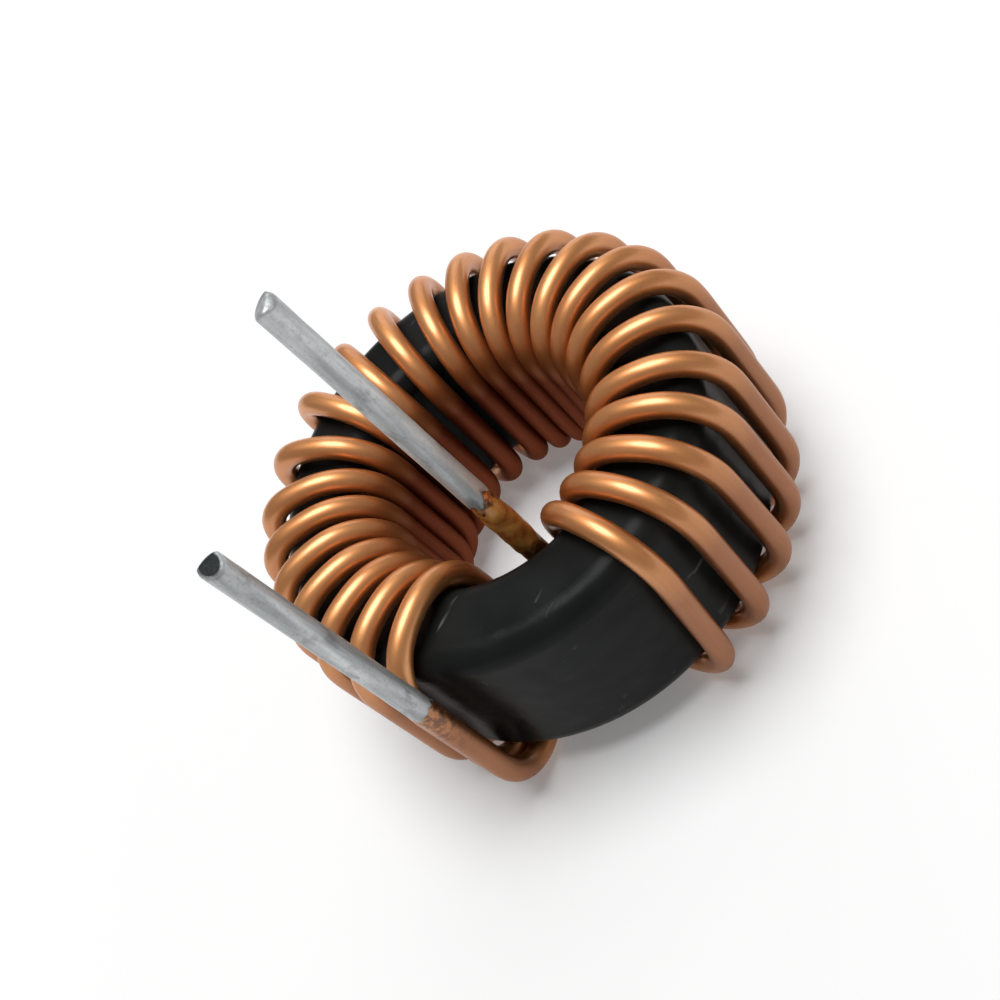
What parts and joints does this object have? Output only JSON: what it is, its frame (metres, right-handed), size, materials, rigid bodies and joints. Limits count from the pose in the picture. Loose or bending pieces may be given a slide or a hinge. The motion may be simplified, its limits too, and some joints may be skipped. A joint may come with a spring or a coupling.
{
  "type": "toroidal inductor",
  "caption": "Ring-core choke wound with one thick enamelled copper wire, two straight tinned leads rising from one face, open centre hole.",
  "frame": {"origin": "on the surface the winding lies on, under the centre of the ring", "axes": "+Z along the ring's axis and the leads, towards the lead tips; the two leads stand in a row along Y"},
  "size_m": [0.0262, 0.0262, 0.0296],
  "materials": {
    "core_coat": "semi-gloss black epoxy coat, slightly uneven",
    "enamelled_copper": "copper under clear amber enamel, glossy",
    "solder": "dull grey hot-dipped solder, finely grained"
  },
  "bodies": {
    "root": {"ring_core": "core_coat", "winding_wire": "enamelled_copper", "inner_lead_tinning": "solder", "outer_lead_tinning": "solder"}
  },
  "joints": []
}
